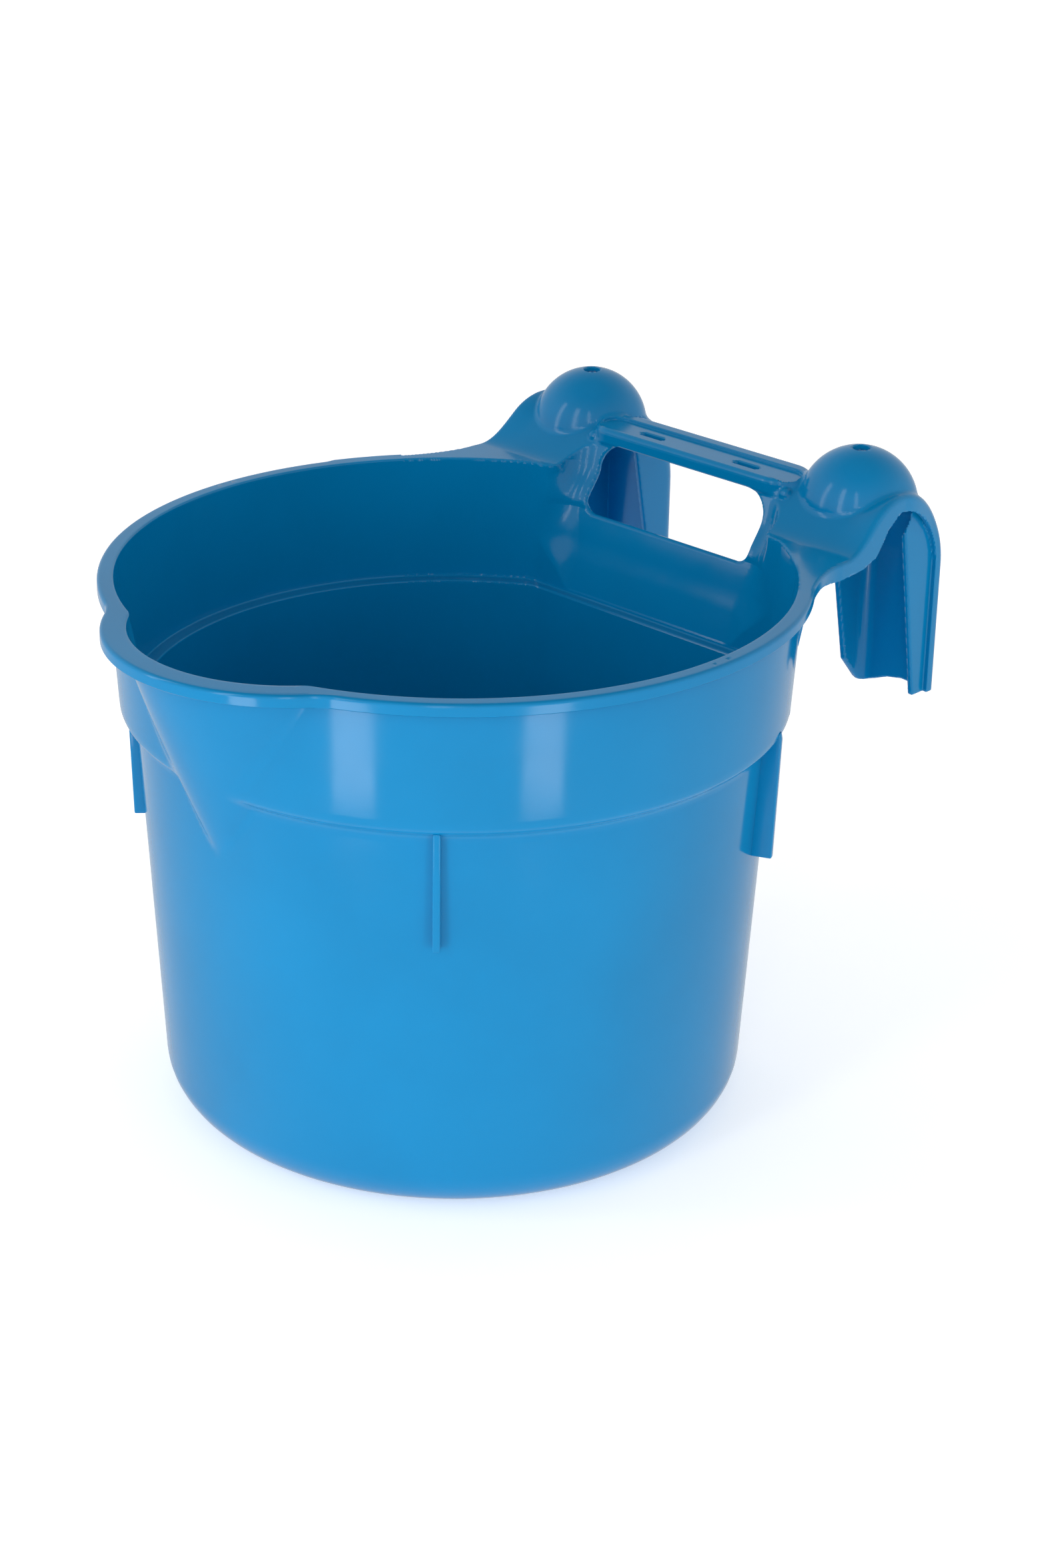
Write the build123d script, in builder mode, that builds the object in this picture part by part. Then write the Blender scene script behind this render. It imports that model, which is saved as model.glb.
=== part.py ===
"""Hang-on feed bucket: a D-shaped tub with a pouring spout, a hand hole and two hooks.

Frame: millimetres, +Z up, the base stands on Z = 0 and the tub's round wall is
centred on the Z axis. The spout points to -Y, the hooks and the flat back to +Y.
Every node is one moulded feature of the bucket and meets its neighbours face to face.
"""
import os
from math import cos, radians, sin

from build123d import *

os.makedirs("parts", exist_ok=True)

# ---- driving dimensions ----
WALL = 2.5              # moulded wall thickness
RIM_Z = 224.0           # top face of the rim
SHOULDER_LOW = 166.5    # bottom of the step between lower wall and upper band
SHOULDER_TOP = 171.0    # top of that step

BASE_R = 118.0          # outer radius at the base
LOWER_R = 126.9         # outer radius just under the shoulder
BAND_R = 133.0          # outer radius just over the shoulder
TOP_R = 136.0           # outer radius at the rim
BASE_FLAT = 101.7       # distance from the axis to the flat back, at the same heights
LOWER_FLAT = 110.6
BAND_FLAT = 115.2
TOP_FLAT = 117.4
BASE_ROUND = 18.4       # outer rounding between wall and floor

RIM_OUT_R = 140.0       # outer radius of the rim flange
LIP_DROP = 5.0          # the rim's turned-down lip, measured from the top face
LIP_WALL = 2.0
RIM_BACK_Y = 91.0       # the round rim ends here and the hook shelf begins
RIM_SLOT = (13.0, 1.8)  # slot through the rim on each side, along and across the rim
RIM_SLOT_R = 137.0

SPOUT_Y = -85.8         # centre of the spout's round outline
SPOUT_IN_R = 62.5       # radius of the spout's inner edge
SPOUT_OUT_R = 72.3      # radius of the spout's outer edge
SPOUT_TIP_Z = 134.0     # height where the pouring channel fades into the wall

PANEL_HALF = 66.5       # half width of the flat back panel
GRIP_HALF = 57.0        # half width of the part that leans out to the handle
GRIP_LOW = RIM_Z - 30.0
GRIP_BEND_Y = 123.0     # the leaning panel turns steeper here, at the hole's lower edge
GRIP_WALL = 3.1
HOLE_HALF = 45.0        # half width of the hand hole
HOLE_LOW = RIM_Z - 19.0
HOLE_TOP = RIM_Z + 9.5
HOLE_CORNER = 11.0

BAR_TOP = RIM_Z + 16.5  # handle bar
BAR_LOW = RIM_Z + 9.5
BAR_FRONT = 132.5
BAR_BACK = 157.5
BAR_SLOT_X = 26.0       # centre of each tie-down slot
BAR_SLOT_Y = 143.0
BAR_SLOT = (13.0, 3.5)
BAR_RECESS = (108.0, 15.0, 1.2)

HOOK_IN_X = 53.6        # each hook spans this range of |X|
HOOK_OUT_X = 100.0
LEG_OUT_X = 95.5        # the leg is drawn in behind the strap's outer edge
HOOK_BACK_Y = 191.5     # rear face of the hook leg
STRAP_WALL = 3.0
STRAP_ROOT_Y = 126.0    # the shelf ends and the strap begins
HOOK_CORNER = 9.0       # rear inner corner of the hook, seen from above
HOOK_OUT_CORNER = 5.5   # rear outer corner
FLANGE_WALL = 2.5
LEG_LOW_IN = RIM_Z - 85.5
LEG_LOW_OUT = RIM_Z - 75.0
SHELF_OUT_X = 103.0

DOME_X = 74.5
DOME_Y = 157.0
DOME_Z = RIM_Z + 7.0
DOME_R = 24.5
DOME_HOLE_R = 3.5

RIB_WALL = 3.0
RIB_LOW = RIM_Z - 104.0
FRONT_RIB_ANGLE = 42.0  # measured from the spout
FRONT_RIB_R = (128.0, 129.2)
REAR_RIB_ANGLE = 115.0
REAR_RIB_R = (132.5, 134.0)
GUSSET_ANGLE = 126.0
GUSSET_LOW = RIM_Z - 24.0

BIG = 400.0             # larger than the bucket, for cutting tools


# ---- helpers ----
def d_outline(radius, flat):
    """A disc whose back is cut off straight at y = flat, in the active sketch."""
    Circle(radius)
    with Locations((0, flat + radius)):
        Rectangle(3 * radius, 2 * radius, mode=Mode.SUBTRACT)


def tub_volume(inset):
    """All that lies inside the tub's skin, with the skin moved inwards by inset."""
    with BuildPart() as lower:
        with BuildSketch(Plane.XY.offset(inset)):
            d_outline(BASE_R - inset, BASE_FLAT - inset)
        with BuildSketch(Plane.XY.offset(SHOULDER_LOW)):
            d_outline(LOWER_R - inset, LOWER_FLAT - inset)
        loft(ruled=True)
        fillet(lower.edges().group_by(Axis.Z)[0], BASE_ROUND - inset)
    with BuildPart() as shoulder:
        with BuildSketch(Plane.XY.offset(SHOULDER_LOW)):
            d_outline(LOWER_R - inset, LOWER_FLAT - inset)
        with BuildSketch(Plane.XY.offset(SHOULDER_TOP)):
            d_outline(BAND_R - inset, BAND_FLAT - inset)
        loft(ruled=True)
    with BuildPart() as band:
        with BuildSketch(Plane.XY.offset(SHOULDER_TOP)):
            d_outline(BAND_R - inset, BAND_FLAT - inset)
        with BuildSketch(Plane.XY.offset(RIM_Z)):
            d_outline(TOP_R - inset, TOP_FLAT - inset)
        loft(ruled=True)
    return lower.part + shoulder.part + band.part


def spout_cone(top_radius, tip_y):
    """The slanted cone that the pouring channel follows."""
    with BuildPart() as cone:
        with BuildSketch(Plane.XY.offset(RIM_Z)):
            with Locations((0, SPOUT_Y)):
                Circle(top_radius)
        with BuildSketch(Plane.XY.offset(SPOUT_TIP_Z)):
            with Locations((0, tip_y)):
                Circle(0.8)
        loft(ruled=True)
    return cone.part


def slab(low, high):
    """A wide block between two heights, for cutting a node out of the shell."""
    with BuildPart() as layer:
        with BuildSketch(Plane.XY.offset(low)):
            Rectangle(BIG * 2, BIG * 2)
        extrude(amount=high - low)
    return layer.part


def block(x_range, y_range, z_range):
    """An axis-aligned block given by its lowest and highest X, Y and Z."""
    size = [high - low for low, high in (x_range, y_range, z_range)]
    middle = [(high + low) / 2 for low, high in (x_range, y_range, z_range)]
    return Pos(*middle) * Box(*size)


def write(part, name):
    """Label a finished piece and write it as its own STEP file."""
    part.label = name
    export_step(part, f"parts/{name}.step")


def write_pair(part, name):
    """Write a right-hand piece (+X) and its mirror image."""
    write(part, f"{name}_right")
    write(mirror(part, about=Plane.YZ), f"{name}_left")


outer_volume = tub_volume(0)
inner_volume = tub_volume(WALL)
channel_outer = spout_cone(SPOUT_IN_R + WALL, -LOWER_R + 2.0)
channel_inner = spout_cone(SPOUT_IN_R, -LOWER_R + 2.0 + WALL)
shell = outer_volume - inner_volume
walls = shell - channel_outer

# ---- tub: floor, rounded base corner and lower wall ----
floor_flat = BASE_FLAT - BASE_ROUND
with BuildPart() as floor_plug:
    with BuildSketch():
        d_outline(BASE_R - BASE_ROUND, floor_flat)
    extrude(amount=WALL)

with BuildPart() as floor:
    add(shell)
    add(floor_plug.part, mode=Mode.INTERSECT)
write(floor.part, "floor")

with BuildPart() as base_corner:
    add(shell)
    add(slab(0, BASE_ROUND), mode=Mode.INTERSECT)
    add(floor_plug.part, mode=Mode.SUBTRACT)
write(base_corner.part, "base_corner")

corner_half = 56.0      # just inside the two upright corners of the flat back
lower_flat_zone = block((-corner_half, corner_half), (80, BIG), (BASE_ROUND, SHOULDER_LOW))

with BuildPart() as lower_wall:
    add(walls)
    add(slab(BASE_ROUND, SHOULDER_LOW), mode=Mode.INTERSECT)
    add(lower_flat_zone, mode=Mode.SUBTRACT)
write(lower_wall.part, "lower_wall")

with BuildPart() as lower_back_wall:
    add(walls)
    add(lower_flat_zone, mode=Mode.INTERSECT)
write(lower_back_wall.part, "lower_back_wall")

# ---- shoulder and upper band ----
with BuildPart() as shoulder:
    add(walls)
    add(slab(SHOULDER_LOW, SHOULDER_TOP), mode=Mode.INTERSECT)
write(shoulder.part, "shoulder")

right_half = block((0, BIG), (-BIG, BIG), (0, BIG))
back_zone = block((-PANEL_HALF, PANEL_HALF), (100, BIG), (SHOULDER_TOP, RIM_Z))
grip_zone = block((-GRIP_HALF, GRIP_HALF), (100, BIG), (GRIP_LOW, RIM_Z))

with BuildPart() as upper_band:
    add(walls)
    add(slab(SHOULDER_TOP, RIM_Z), mode=Mode.INTERSECT)
    add(back_zone, mode=Mode.SUBTRACT)
    add(right_half, mode=Mode.INTERSECT)
write_pair(upper_band.part, "upper_band")

with BuildPart() as back_panel:
    add(walls)
    add(back_zone, mode=Mode.INTERSECT)
    add(grip_zone, mode=Mode.SUBTRACT)
write(back_panel.part, "back_panel")

# ---- pouring spout ----
with BuildPart() as pouring_channel:
    add(channel_outer)
    add(channel_inner, mode=Mode.SUBTRACT)
    add(inner_volume, mode=Mode.SUBTRACT)
write(pouring_channel.part, "pouring_channel")


def rim_ring(radius_in, radius_out, low, high, centre_y=0.0):
    """A flat ring between two radii and two heights."""
    with BuildPart() as ring:
        with BuildSketch(Plane.XY.offset(low)):
            with Locations((0, centre_y)):
                Circle(radius_out)
                Circle(radius_in, mode=Mode.SUBTRACT)
        extrude(amount=high - low)
    return ring.part


with BuildPart() as spout_disc:
    with BuildSketch(Plane.XY.offset(RIM_Z - LIP_DROP)):
        with Locations((0, SPOUT_Y)):
            Circle(SPOUT_OUT_R)
    extrude(amount=LIP_DROP)

with BuildPart() as spout_rim:
    add(rim_ring(SPOUT_IN_R, SPOUT_OUT_R, RIM_Z - WALL, RIM_Z, SPOUT_Y))
    add(outer_volume, mode=Mode.SUBTRACT)
    add(channel_outer, mode=Mode.SUBTRACT)
    fillet(spout_rim.edges().filter_by(GeomType.CIRCLE).group_by(Axis.Z)[-1].sort_by(Edge.length)[-1], 1.5)
write(spout_rim.part, "spout_rim")

with BuildPart() as spout_lip:
    add(rim_ring(SPOUT_OUT_R - LIP_WALL, SPOUT_OUT_R, RIM_Z - LIP_DROP, RIM_Z - WALL, SPOUT_Y))
    add(outer_volume, mode=Mode.SUBTRACT)
write(spout_lip.part, "spout_lip")

# ---- rim flange and its turned-down lip ----
shelf_side = block((-BIG, BIG), (RIM_BACK_Y, BIG), (0, BIG))

with BuildPart() as rim_flange:
    add(rim_ring(TOP_R - WALL - 4, RIM_OUT_R, RIM_Z - WALL, RIM_Z))
    fillet(rim_flange.edges().group_by(Axis.Z)[-1].sort_by(Edge.length)[-1], 1.5)
    add(outer_volume, mode=Mode.SUBTRACT)
    add(spout_disc.part, mode=Mode.SUBTRACT)
    add(shelf_side, mode=Mode.SUBTRACT)
    add(right_half, mode=Mode.INTERSECT)
    with Locations((RIM_SLOT_R, 0, RIM_Z)):
        Box(RIM_SLOT[1], RIM_SLOT[0], 4 * WALL, mode=Mode.SUBTRACT)
write_pair(rim_flange.part, "rim_flange")

with BuildPart() as rim_lip:
    add(rim_ring(RIM_OUT_R - LIP_WALL, RIM_OUT_R, RIM_Z - LIP_DROP, RIM_Z - WALL))
    add(spout_disc.part, mode=Mode.SUBTRACT)
    add(shelf_side, mode=Mode.SUBTRACT)
    add(right_half, mode=Mode.INTERSECT)
write_pair(rim_lip.part, "rim_lip")

# ---- hand grip: the panel leans out around the hand hole, up to the handle bar ----
GRIP_LINE = ((TOP_FLAT - WALL - 1.2, GRIP_LOW), (GRIP_BEND_Y, HOLE_LOW), (BAR_FRONT, BAR_LOW))


def leaning_panel(thickness):
    """The panel that follows the grip line, as one closed outline extruded along X."""
    front = list(GRIP_LINE)
    behind = [(y + thickness, z) for y, z in reversed(GRIP_LINE)]
    with BuildPart() as panel:
        with BuildSketch(Plane.YZ.offset(-GRIP_HALF)):
            with BuildLine():
                Polyline(*front, *behind, close=True)
            make_face()
        extrude(amount=2 * GRIP_HALF)
    return panel.part


with BuildPart() as grip_panel:
    add(leaning_panel(GRIP_WALL))
    with BuildSketch(Plane.XZ.offset(-100)):
        with Locations((0, (HOLE_TOP + HOLE_LOW) / 2)):
            RectangleRounded(2 * HOLE_HALF, HOLE_TOP - HOLE_LOW, HOLE_CORNER)
    extrude(amount=-80, mode=Mode.SUBTRACT)
write(grip_panel.part, "grip_panel")

with BuildPart() as grip_cheek:
    with BuildSketch(Plane.YZ.offset(GRIP_HALF)):
        with BuildLine():
            Polyline((TOP_FLAT, RIM_Z), (TOP_FLAT, GRIP_LOW), (GRIP_BEND_Y + WALL, HOLE_LOW),
                     (BAR_FRONT - 1, RIM_Z), close=True)
        make_face()
    extrude(amount=WALL)
write_pair(grip_cheek.part, "grip_cheek")

# ---- hooks: side view of the strap, from the shelf over the arch to the leg ----
ARCH_Y = 152.0
FRONT_ARCH_Z = RIM_Z - 10.0
FRONT_ARCH_R = 27.0
REAR_ARCH_Z = RIM_Z - 22.0
REAR_ARCH_R = HOOK_BACK_Y - ARCH_Y


def arch_point(centre_z, radius, angle):
    """A point of the arch, with the angle measured from its crest towards the leg."""
    return (ARCH_Y + radius * sin(radians(angle)), centre_z + radius * cos(radians(angle)))


def arch_edges(inset):
    """Both arcs of the arch, inset below its top face. Made inside an active BuildLine."""
    front, rear = FRONT_ARCH_R - inset, REAR_ARCH_R - inset
    crest = (ARCH_Y, REAR_ARCH_Z + rear)
    front_z = crest[1] - front
    ThreePointArc(arch_point(front_z, front, -45), arch_point(front_z, front, -22), crest)
    ThreePointArc(crest, arch_point(REAR_ARCH_Z, rear, 45), arch_point(REAR_ARCH_Z, rear, 90))
    return arch_point(front_z, front, -45), arch_point(REAR_ARCH_Z, rear, 90)


with BuildPart() as strap_band:
    with BuildSketch(Plane.YZ.offset(HOOK_IN_X)):
        with BuildLine():
            top_front, top_rear = arch_edges(0)
            low_front, low_rear = arch_edges(STRAP_WALL)
            Line(top_rear, low_rear)
            Polyline(top_front, (STRAP_ROOT_Y + 3, RIM_Z), (STRAP_ROOT_Y, RIM_Z),
                     (STRAP_ROOT_Y, RIM_Z - WALL), (STRAP_ROOT_Y + 5, RIM_Z - WALL), low_front)
        make_face()
    extrude(amount=HOOK_OUT_X - HOOK_IN_X)

with BuildPart() as under_strap:
    with BuildSketch(Plane.YZ.offset(HOOK_IN_X)):
        with BuildLine():
            low_front, low_rear = arch_edges(STRAP_WALL)
            Polyline(low_rear, (HOOK_BACK_Y, REAR_ARCH_Z), (HOOK_BACK_Y, 0), (STRAP_ROOT_Y, 0),
                     (STRAP_ROOT_Y, RIM_Z - WALL), (STRAP_ROOT_Y + 5, RIM_Z - WALL), low_front)
        make_face()
    extrude(amount=HOOK_OUT_X - HOOK_IN_X)


def hook_column(inset):
    """The hook seen from above, narrower at the rear and round at its rear corners."""
    inner, outer, leg_outer = HOOK_IN_X + inset, HOOK_OUT_X - inset, LEG_OUT_X - inset
    rear = HOOK_BACK_Y - inset
    with BuildPart() as column:
        with BuildSketch() as plan:
            with BuildLine():
                Polyline((inner, 100), (outer, 100), (outer, 157), (leg_outer, 172),
                         (leg_outer, rear), (inner, rear), close=True)
            make_face()
            fillet(plan.vertices().group_by(Axis.Y)[-1].sort_by(Axis.X)[0], HOOK_CORNER - inset)
            fillet(plan.vertices().group_by(Axis.Y)[-1].sort_by(Axis.X)[-1], HOOK_OUT_CORNER - inset)
        extrude(amount=BIG)
    return column.part


CORNER_Y = HOOK_BACK_Y - HOOK_CORNER - 0.5
column = hook_column(0)
channel = column - hook_column(FLANGE_WALL)
dome_ball = Pos(DOME_X, DOME_Y, DOME_Z) * Sphere(DOME_R)
dome_hollow = Pos(DOME_X, DOME_Y, DOME_Z) * Sphere(DOME_R - WALL)

with BuildPart() as hook_strap:
    add(strap_band.part)
    add(column, mode=Mode.INTERSECT)
    add(leaning_panel(GRIP_WALL), mode=Mode.SUBTRACT)
    add(grip_cheek.part, mode=Mode.SUBTRACT)
    add(dome_hollow, mode=Mode.SUBTRACT)
write_pair(hook_strap.part, "hook_strap")

# the leg's lower edge, seen from behind: lowest at the inner flange
with BuildPart() as leg_foot:
    with BuildSketch(Plane.XZ.offset(-100)):
        with BuildLine():
            Polyline((HOOK_IN_X - 5, LEG_LOW_IN), (60, LEG_LOW_IN + 1), (71, RIM_Z - 80),
                     (HOOK_OUT_X + 5, LEG_LOW_OUT), (HOOK_OUT_X + 5, -1), (HOOK_IN_X - 5, -1),
                     close=True)
        make_face()
    extrude(amount=-150)

with BuildPart() as foot_chamfer:
    with BuildSketch(Plane.YZ.offset(HOOK_IN_X)):
        with BuildLine():
            Polyline((178.0, RIM_Z - 73), (HOOK_BACK_Y - WALL, LEG_LOW_IN), (HOOK_BACK_Y, -1),
                     (150, -1), (150, RIM_Z - 73), close=True)
        make_face()
    extrude(amount=FLANGE_WALL)

with BuildPart() as leg:
    add(channel)
    add(under_strap.part, mode=Mode.INTERSECT)
    add(leg_foot.part, mode=Mode.SUBTRACT)
    add(foot_chamfer.part, mode=Mode.SUBTRACT)

with BuildPart() as hook_web:
    add(leg.part)
    add(block((0, BIG), (CORNER_Y, BIG), (0, BIG)), mode=Mode.INTERSECT)
write_pair(hook_web.part, "hook_web")


def flange(name, x_range, free_edge):
    """One side of the hook channel, behind its free edge, from the strap down."""
    with BuildPart() as side:
        with BuildSketch(Plane.YZ.offset(x_range[0])):
            with BuildLine():
                Polyline(*free_edge, (CORNER_Y, free_edge[-1][1]), (CORNER_Y, free_edge[0][1]),
                         close=True)
            make_face()
        extrude(amount=x_range[1] - x_range[0])
        add(leg.part, mode=Mode.INTERSECT)
    write_pair(side.part, name)


flange("hook_inner_flange", (HOOK_IN_X, HOOK_IN_X + FLANGE_WALL),
       ((164.0, RIM_Z + 17), (178.0, RIM_Z - 73), (178.0, RIM_Z - 90)))
flange("hook_outer_flange", (LEG_OUT_X - FLANGE_WALL, HOOK_OUT_X),
       ((160.0, RIM_Z + 17), (173.6, RIM_Z - 75), (174.6, RIM_Z - 90)))


def strap_lip(name, x_range):
    """The turned-down edge along the front half of the strap."""
    with BuildPart() as lip:
        with BuildSketch(Plane.YZ.offset(x_range[0])):
            with BuildLine():
                Polyline((STRAP_ROOT_Y, RIM_Z), (STRAP_ROOT_Y, RIM_Z - 7), (133.0, RIM_Z - 6),
                         (138.0, RIM_Z - 2), (142.5, RIM_Z + 5), (147.0, RIM_Z + 8.5),
                         (152.0, RIM_Z + 9.5), (152.0, BIG), close=True)
            make_face()
        extrude(amount=x_range[1] - x_range[0])
        add(under_strap.part, mode=Mode.INTERSECT)
        add(leaning_panel(GRIP_WALL), mode=Mode.SUBTRACT)
    write_pair(lip.part, name)


strap_lip("strap_outer_lip", (HOOK_OUT_X - FLANGE_WALL, HOOK_OUT_X))

# ---- shelf between the rim and the hook, with its own turned-down lip ----
rim_end_x = (RIM_OUT_R ** 2 - RIM_BACK_Y ** 2) ** 0.5
shelf_edge = ((rim_end_x, RIM_BACK_Y), (SHELF_OUT_X, 112.0), (HOOK_OUT_X, STRAP_ROOT_Y))

shelf_in_x = GRIP_HALF + WALL

with BuildPart() as hook_shelf:
    with BuildSketch(Plane.XY.offset(RIM_Z - WALL)):
        with BuildLine():
            Polyline(*shelf_edge, (shelf_in_x, STRAP_ROOT_Y), (shelf_in_x, 80), (90, RIM_BACK_Y),
                     close=True)
        make_face()
    extrude(amount=WALL)
    add(outer_volume, mode=Mode.SUBTRACT)
write_pair(hook_shelf.part, "hook_shelf")

with BuildPart() as shelf_lip:
    with BuildSketch(Plane.XY.offset(RIM_Z - LIP_DROP)):
        with BuildLine():
            Polyline(*shelf_edge, *[(x - LIP_WALL, y) for x, y in reversed(shelf_edge)], close=True)
        make_face()
    extrude(amount=LIP_DROP - WALL)
write_pair(shelf_lip.part, "shelf_lip")

# ---- hollow domes on the straps ----
with BuildPart() as above_strap:
    with BuildSketch(Plane.YZ.offset(0)):
        with BuildLine():
            top_front, top_rear = arch_edges(0)
            Polyline(top_rear, (BIG, REAR_ARCH_Z), (BIG, BIG), (100, BIG), (100, RIM_Z),
                     (STRAP_ROOT_Y + 3, RIM_Z), top_front)
        make_face()
    extrude(amount=BIG)

with BuildPart() as dome:
    add(dome_ball)
    add(dome_hollow, mode=Mode.SUBTRACT)
    add(above_strap.part, mode=Mode.INTERSECT)
    with Locations((DOME_X, DOME_Y, DOME_Z)):
        Cylinder(DOME_HOLE_R, DOME_R * 4, mode=Mode.SUBTRACT)
write_pair(dome.part, "dome")

# ---- handle bar: an upturned trough with a recessed top and two slots ----
bar_middle_y = (BAR_FRONT + BAR_BACK) / 2
bar_depth = BAR_BACK - BAR_FRONT
with BuildPart() as handle_bar:
    with BuildSketch(Plane.XY.offset(BAR_LOW)):
        with Locations((0, bar_middle_y)):
            Rectangle(2 * HOOK_IN_X, bar_depth)
    extrude(amount=BAR_TOP - BAR_LOW)
    fillet(handle_bar.edges().filter_by(Axis.X).group_by(Axis.Z)[-1], 2.0)
    with BuildSketch(Plane.XY.offset(BAR_TOP)):
        with Locations((0, BAR_SLOT_Y)):
            SlotOverall(BAR_RECESS[0], BAR_RECESS[1])
    extrude(amount=-BAR_RECESS[2], mode=Mode.SUBTRACT)
    with BuildSketch(Plane.XY.offset(BAR_LOW)):
        with Locations((0, bar_middle_y)):
            Rectangle(2 * HOOK_IN_X, bar_depth - 2 * WALL)
    extrude(amount=BAR_TOP - BAR_LOW - BAR_RECESS[2] - WALL, mode=Mode.SUBTRACT)
    with BuildSketch(Plane.XY.offset(BAR_LOW)):
        with Locations((-BAR_SLOT_X, BAR_SLOT_Y), (BAR_SLOT_X, BAR_SLOT_Y)):
            SlotOverall(*BAR_SLOT)
    extrude(amount=20, mode=Mode.SUBTRACT)
    add(dome_ball, mode=Mode.SUBTRACT)
    add(mirror(dome_ball, about=Plane.YZ, mode=Mode.PRIVATE), mode=Mode.SUBTRACT)
write(handle_bar.part, "handle_bar")


# ---- stacking ribs under the shoulder and gussets under the hook shelf ----
def radial_fin(angle, outline, thickness):
    """A fin in the radial plane at an angle from the spout, outside the tub's skin."""
    outward = (sin(radians(angle)), -cos(radians(angle)), 0)
    sideways = (-cos(radians(angle)), -sin(radians(angle)), 0)
    with BuildPart() as fin:
        with BuildSketch(Plane(origin=(0, 0, 0), x_dir=outward, z_dir=sideways)):
            with BuildLine():
                Polyline(*outline, close=True)
            make_face()
        extrude(amount=thickness / 2, both=True)
        add(outer_volume, mode=Mode.SUBTRACT)
    return fin.part


def rib_outline(low_radius, top_radius):
    """The side view of a stacking rib: distance from the axis and height."""
    return ((110, RIB_LOW), (low_radius, RIB_LOW), (top_radius, SHOULDER_LOW + 2),
            (top_radius, SHOULDER_TOP), (110, SHOULDER_TOP))


write_pair(radial_fin(FRONT_RIB_ANGLE, rib_outline(*FRONT_RIB_R), RIB_WALL), "front_rib")
write_pair(radial_fin(REAR_RIB_ANGLE, rib_outline(*REAR_RIB_R), RIB_WALL), "rear_rib")

gusset_top = RIM_Z - WALL
gusset_out = RIM_OUT_R - LIP_WALL - 0.3
gusset_outline = ((120, GUSSET_LOW), (TOP_R - 1, GUSSET_LOW), (gusset_out, RIM_Z - LIP_DROP - 2),
                  (gusset_out, gusset_top), (120, gusset_top))
write_pair(radial_fin(GUSSET_ANGLE, gusset_outline, WALL), "gusset")
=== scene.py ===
"""Looks of the feed bucket: one glossy blue plastic moulding on a pale studio floor.

The moulding is described as signed distances in millimetres, in the frame of the CAD
part (+Z up, -Y spout, +Y hooks). Smooth unions give the moulded fillets. The tub is
meshed as a lathe-like grid and the back with its hooks as a fine volume surface.
"""
import math

import bmesh
import bpy
import numpy as np
import openvdb
from mathutils import Matrix, Vector


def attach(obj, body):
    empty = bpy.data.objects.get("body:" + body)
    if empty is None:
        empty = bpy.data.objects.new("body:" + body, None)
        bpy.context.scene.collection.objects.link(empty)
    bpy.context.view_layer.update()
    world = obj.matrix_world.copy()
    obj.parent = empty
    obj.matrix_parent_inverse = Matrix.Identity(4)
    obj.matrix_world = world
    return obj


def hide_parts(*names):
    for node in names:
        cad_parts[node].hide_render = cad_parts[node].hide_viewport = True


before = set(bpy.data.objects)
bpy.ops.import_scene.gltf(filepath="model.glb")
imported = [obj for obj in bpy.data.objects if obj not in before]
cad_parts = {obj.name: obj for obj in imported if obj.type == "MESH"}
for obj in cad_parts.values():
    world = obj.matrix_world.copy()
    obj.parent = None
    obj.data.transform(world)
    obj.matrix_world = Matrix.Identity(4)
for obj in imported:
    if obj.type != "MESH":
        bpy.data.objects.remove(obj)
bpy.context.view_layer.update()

# ---- dimensions, in millimetres; heights by the hooks are given from the rim ----
WALL = 2.5
RIM = 224.0
BASE_R, BASE_FLAT, BASE_ROUND = 118.0, 101.7, 18.4
DRAFT, DRAFT_COS = 0.0535, 0.9986               # outward slope of the lower wall
SHOULDER_LOW, SHOULDER_TOP = 166.5, 171.0
NECK_R, NECK_FLAT = 126.9, 110.6                # the lower wall where the shoulder starts
BAND_R, BAND_FLAT = 133.0, 115.2                # the wider band above the shoulder
BAND_DRAFT, BAND_DRAFT_COS = 0.0566, 0.9984
BACK_CORNER = 4.5       # between the round wall and the flat back
LEDGE = 171.3           # the shoulder is a flat ledge on the inside
CHANNEL_LOW = RIM - 92.0
RIM_R, SPOUT_R, SPOUT_Y = 140.0, 72.3, -85.8
LIP = 2.0               # thickness of the rim's turned-down lip
LIP_LOW = RIM - 5.0
EDGE, INNER_EDGE = 1.5, 0.8                     # rounding of the rim's outer and inner edge
SLOT_X, SLOT_HALF_WIDTH, SLOT_HALF_LENGTH = 137.0, 0.9, 6.5    # slots through the rim

GRIP_SIDE = 58.0        # half width of the grip's inside
HOLE_SIDE, HOLE_TOP, HOLE_LOW = 45.5, RIM + 10.0, RIM - 18.5
BAR_Y, BAR_HALF, BAR_R = 145.0, 43.0, 12.5
BAR_TOP, BAR_LOW = RIM + 16.5, RIM + 9.5
SLOT_Y = 143.0          # middle of the bar's recess and its two slots
HOOK_IN, HOOK_LEG, HOOK_MID = 53.6, 93.6, 76.8  # the leg's inner, outer and middle |X|
HOOK_BACK = 191.5
LEG_WALL = 2.8
STRAP_WALL = 3.2
DOME = (74.5, 157.0, RIM + 7.0)
DOME_R = 24.5

WEDGE_DEGREES = 125.0   # the front piece ends here, measured from the spout
SEAM = SHOULDER_LOW - 1.0                       # height where lower and upper pieces meet
RIB_LOW = RIM - 104.0
RIB_WALL = 3.0
FRONT_RIB, REAR_RIB, RIM_FIN = 42.0, 115.0, 126.0    # angles from the spout, in degrees


# ---- distance operations ----
def fillet_union(a, b, r):
    """Two solids joined, with a fillet of radius r between them."""
    return np.maximum(r, np.minimum(a, b)) - np.hypot(np.maximum(r - a, 0), np.maximum(r - b, 0))


def round_cut(a, b, r):
    """What two solids share, with the edge rounded to radius r."""
    return np.minimum(-r, np.maximum(a, b)) + np.hypot(np.maximum(a + r, 0), np.maximum(b + r, 0))


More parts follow.
